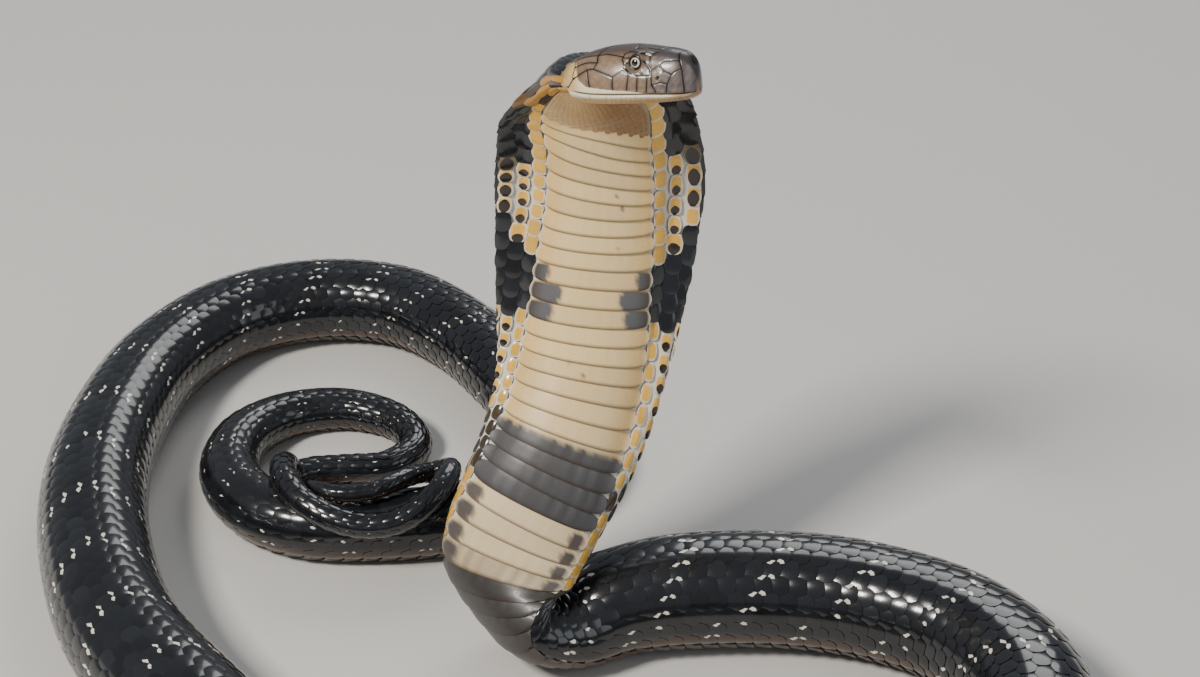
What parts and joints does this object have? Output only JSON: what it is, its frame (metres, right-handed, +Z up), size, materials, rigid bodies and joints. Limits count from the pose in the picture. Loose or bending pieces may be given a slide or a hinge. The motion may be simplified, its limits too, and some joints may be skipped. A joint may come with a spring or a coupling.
{
  "type": "king cobra model",
  "caption": "Life-size king cobra as a still museum model: hood spread, front of the body reared, body looped on the ground, tail coiled.",
  "frame": {"origin": "middle of the footprint of the whole model, on the ground", "axes": "+Z up, -Y towards the side that the hood's belly faces, +X to the viewer's right from there"},
  "size_m": [0.6231, 0.6413, 0.3923],
  "materials": {
    "black_scales": "glossy black scales with narrow broken white bands",
    "belly_scutes": "satin cream and yellow belly scutes with dark bands",
    "head_shields": "smooth grey-brown head shields with black seams",
    "eye": "wet gloss, pale ring round a black round pupil"
  },
  "bodies": {
    "root": {"head": "head_shields", "neck": "belly_scutes", "hood": "belly_scutes", "hood_foot": "belly_scutes", "eye_left": "eye", "eye_right": "eye", "body_1": "black_scales", "body_2": "black_scales", "body_3": "black_scales", "body_4": "black_scales", "body_5": "black_scales", "body_6": "black_scales", "body_7": "black_scales", "body_8": "black_scales", "tail_1": "black_scales", "tail_2": "black_scales", "tail_3": "black_scales", "tail_4": "black_scales", "tail_5": "black_scales"}
  },
  "joints": []
}
